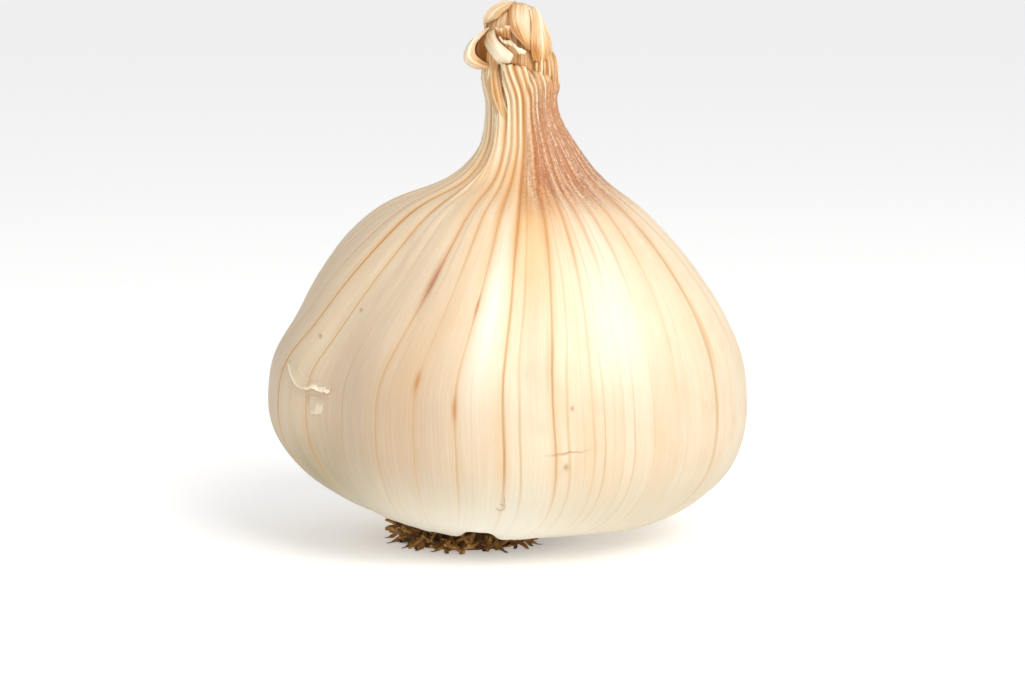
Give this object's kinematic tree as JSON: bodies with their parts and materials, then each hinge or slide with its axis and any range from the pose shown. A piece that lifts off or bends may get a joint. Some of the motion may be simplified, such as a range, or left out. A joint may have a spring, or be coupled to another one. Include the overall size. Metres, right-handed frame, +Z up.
{
  "type": "garlic bulb",
  "caption": "Whole dry garlic bulb with a papery cream skin over soft clove lobes, a pleated neck ending in a knob of folded sheaths, and a pad of trimmed dry roots it stands on.",
  "frame": {"origin": "centre of the flat underside of the root plate, on the surface the bulb stands on", "axes": "+Z runs up from the root plate to the neck, -Y is the front, +X is the side the belly leans to"},
  "size_m": [0.0598, 0.0587, 0.0678],
  "materials": {
    "papery_skin": "dry papery skin with a soft satin sheen, cream with ochre veins",
    "dry_sheath": "dry leaf sheath, matte, tan with fine fibres along it",
    "root_cork": "rough dry corky plate, matte dark brown",
    "dry_root": "dry curled roots, matte brown"
  },
  "bodies": {
    "root": {"bulb": "papery_skin", "skin_flap": "papery_skin", "sheath_core": "dry_sheath", "sheath_right": "dry_sheath", "sheath_middle": "dry_sheath", "sheath_left": "dry_sheath", "sheath_back": "dry_sheath", "sheath_ear": "dry_sheath", "sheath_tongue": "dry_sheath", "sheath_shred_1": "dry_sheath", "sheath_shred_2": "dry_sheath", "root_plate": "root_cork", "root_01": "dry_root", "root_02": "dry_root", "root_03": "dry_root", "root_04": "dry_root", "root_05": "dry_root", "root_06": "dry_root", "root_07": "dry_root", "root_08": "dry_root", "root_09": "dry_root", "root_10": "dry_root", "root_11": "dry_root", "root_12": "dry_root", "root_13": "dry_root", "root_14": "dry_root", "root_15": "dry_root", "root_16": "dry_root", "root_17": "dry_root", "root_18": "dry_root", "root_19": "dry_root", "root_20": "dry_root", "root_21": "dry_root", "root_22": "dry_root", "root_23": "dry_root", "root_24": "dry_root", "root_25": "dry_root", "root_26": "dry_root", "root_27": "dry_root", "root_28": "dry_root", "root_29": "dry_root", "root_30": "dry_root"}
  },
  "joints": []
}
